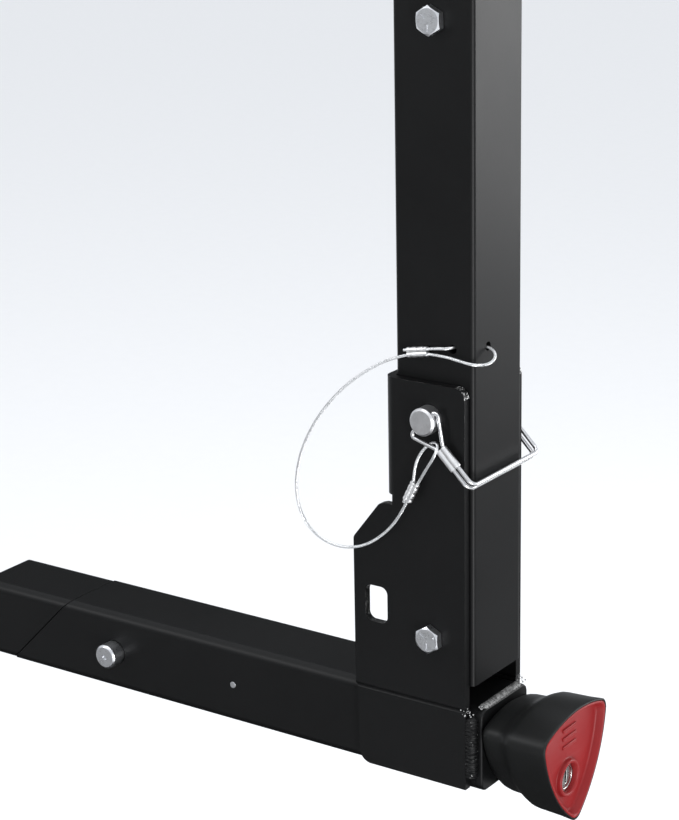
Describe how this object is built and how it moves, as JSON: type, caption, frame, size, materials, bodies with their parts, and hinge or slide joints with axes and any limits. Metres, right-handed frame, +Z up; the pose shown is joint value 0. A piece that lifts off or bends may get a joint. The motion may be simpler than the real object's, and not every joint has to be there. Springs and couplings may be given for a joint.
{
  "type": "hitch mounted bike rack",
  "caption": "Rack for carrying bicycles on a vehicle's hitch: square insert with wedge and knob, tilting mast held by a lock pin on a lanyard, and folding arms with strapped cradles.",
  "frame": {"origin": "on the insert's centre line, level with its hitch pin hole", "axes": "+X away from the vehicle along the insert, +Z up along the mast, -Y towards the bolt heads"},
  "size_m": [1, 0.354, 0.8879],
  "materials": {
    "black_paint": "satin black powder coat over steel",
    "zinc": "bright zinc plating",
    "bright_steel": "bare bright steel",
    "ferrule_aluminium": "satin",
    "black_plastic": "fine grained",
    "red_plastic": "semi-gloss red",
    "lock_steel": "polished",
    "black_rubber": "matte"
  },
  "bodies": {
    "hitch": {"insert_tube": "black_paint", "insert_end_plate": "black_paint", "bracket": "black_paint", "bracket_welds": "black_paint", "pivot_bolt": "zinc", "pivot_washer": "zinc", "pivot_nut": "zinc", "leaf_spring": "bright_steel", "leaf_rivet": "zinc", "knob_washer": "zinc"},
    "detent": {"detent_button": "bright_steel"},
    "wedge": {"wedge_block": "black_paint"},
    "rod_nut": {"wedge_nut": "zinc"},
    "knob": {"drive_rod": "zinc", "knob_body": "black_plastic", "knob_insert": "red_plastic", "lock_case": "lock_steel"},
    "key_plug": {"lock_plug": "lock_steel"},
    "mast": {"mast_lower": "black_paint", "mast_upper": "black_paint", "mast_joiner": "black_paint", "mast_cap": "black_plastic", "pivot_sleeve": "zinc", "joiner_bolts": "zinc", "joiner_washers": "zinc", "joiner_nuts": "zinc", "head_plates": "black_paint", "head_welds": "black_paint", "arm_pivot_bolt": "zinc", "arm_pivot_washers": "zinc", "arm_pivot_nut": "zinc", "plunger_body": "zinc", "lanyard_eye_top": "bright_steel", "lanyard_ferrule_top": "ferrule_aluminium", "lanyard_rope": "bright_steel"},
    "pin": {"lock_pin": "bright_steel", "bail_wire": "bright_steel", "bail_sleeve": "ferrule_aluminium", "lanyard_ferrule_low": "ferrule_aluminium", "lanyard_eye_low": "bright_steel"},
    "arms": {"arm_hub": "black_paint", "arm_crossbar": "black_paint", "crossbar_plugs": "black_plastic", "arm_tube_near": "black_paint", "arm_tube_far": "black_paint", "arm_plugs": "black_plastic", "cradle_near_1": "black_rubber", "cradle_far_1": "black_rubber", "cradle_near_2": "black_rubber", "cradle_far_2": "black_rubber", "cradle_near_3": "black_rubber", "cradle_far_3": "black_rubber", "strap_near_1": "black_rubber", "strap_far_1": "black_rubber", "strap_near_2": "black_rubber", "strap_far_2": "black_rubber", "strap_near_3": "black_rubber", "strap_far_3": "black_rubber"},
    "plunger": {"plunger_pin": "black_plastic"}
  },
  "joints": [
    {"name": "mast_tilt", "type": "hinge", "parent": "hitch", "child": "mast", "pos_m": [0.241, 0, 0.066], "axis": [0, 1, 0], "range_deg": [0, 85]},
    {"name": "lock_pin_turn", "type": "hinge", "parent": "mast", "child": "pin", "pos_m": [0.241, 0, 0.196], "axis": [0, -1, 0], "range_deg": [0, 84], "deforming": ["lanyard_rope"]},
    {"name": "knob_turn", "type": "hinge", "parent": "hitch", "child": "knob", "pos_m": [0.241, 0, 0], "axis": [1, 0, 0], "range_deg": [0, 1260]},
    {"name": "nut_travel", "type": "slide", "parent": "hitch", "child": "rod_nut", "axis": [1, 0, 0], "range_m": [0, 0.00613]},
    {"name": "wedge_slide", "type": "slide", "parent": "hitch", "child": "wedge", "axis": [0.7071, 0, 0.7071], "range_m": [0, 0.00866]},
    {"name": "key_turn", "type": "hinge", "parent": "knob", "child": "key_plug", "pos_m": [0.31, -0.003, -0.013], "axis": [1, 0, 0], "range_deg": [0, 90]},
    {"name": "detent_press", "type": "slide", "parent": "hitch", "child": "detent", "axis": [0, 1, 0], "range_m": [0, 0.0098], "stiffness_N_per_m": 800, "springref_m": -0.005, "deforming": ["leaf_spring"]},
    {"name": "arms_fold", "type": "hinge", "parent": "mast", "child": "arms", "pos_m": [0.293, 0, 0.78], "axis": [0, 1, 0], "range_deg": [0, 90]},
    {"name": "plunger_pull", "type": "slide", "parent": "mast", "child": "plunger", "axis": [0, -1, 0], "range_m": [0, 0.006], "stiffness_N_per_m": 800, "springref_m": -0.005}
  ],
  "couplings": [
    {"joint": "nut_travel", "follows": "wedge_slide", "ratio": 0.70711},
    {"joint": "knob_turn", "follows": "wedge_slide", "rad_per_m": 2538.8}
  ]
}
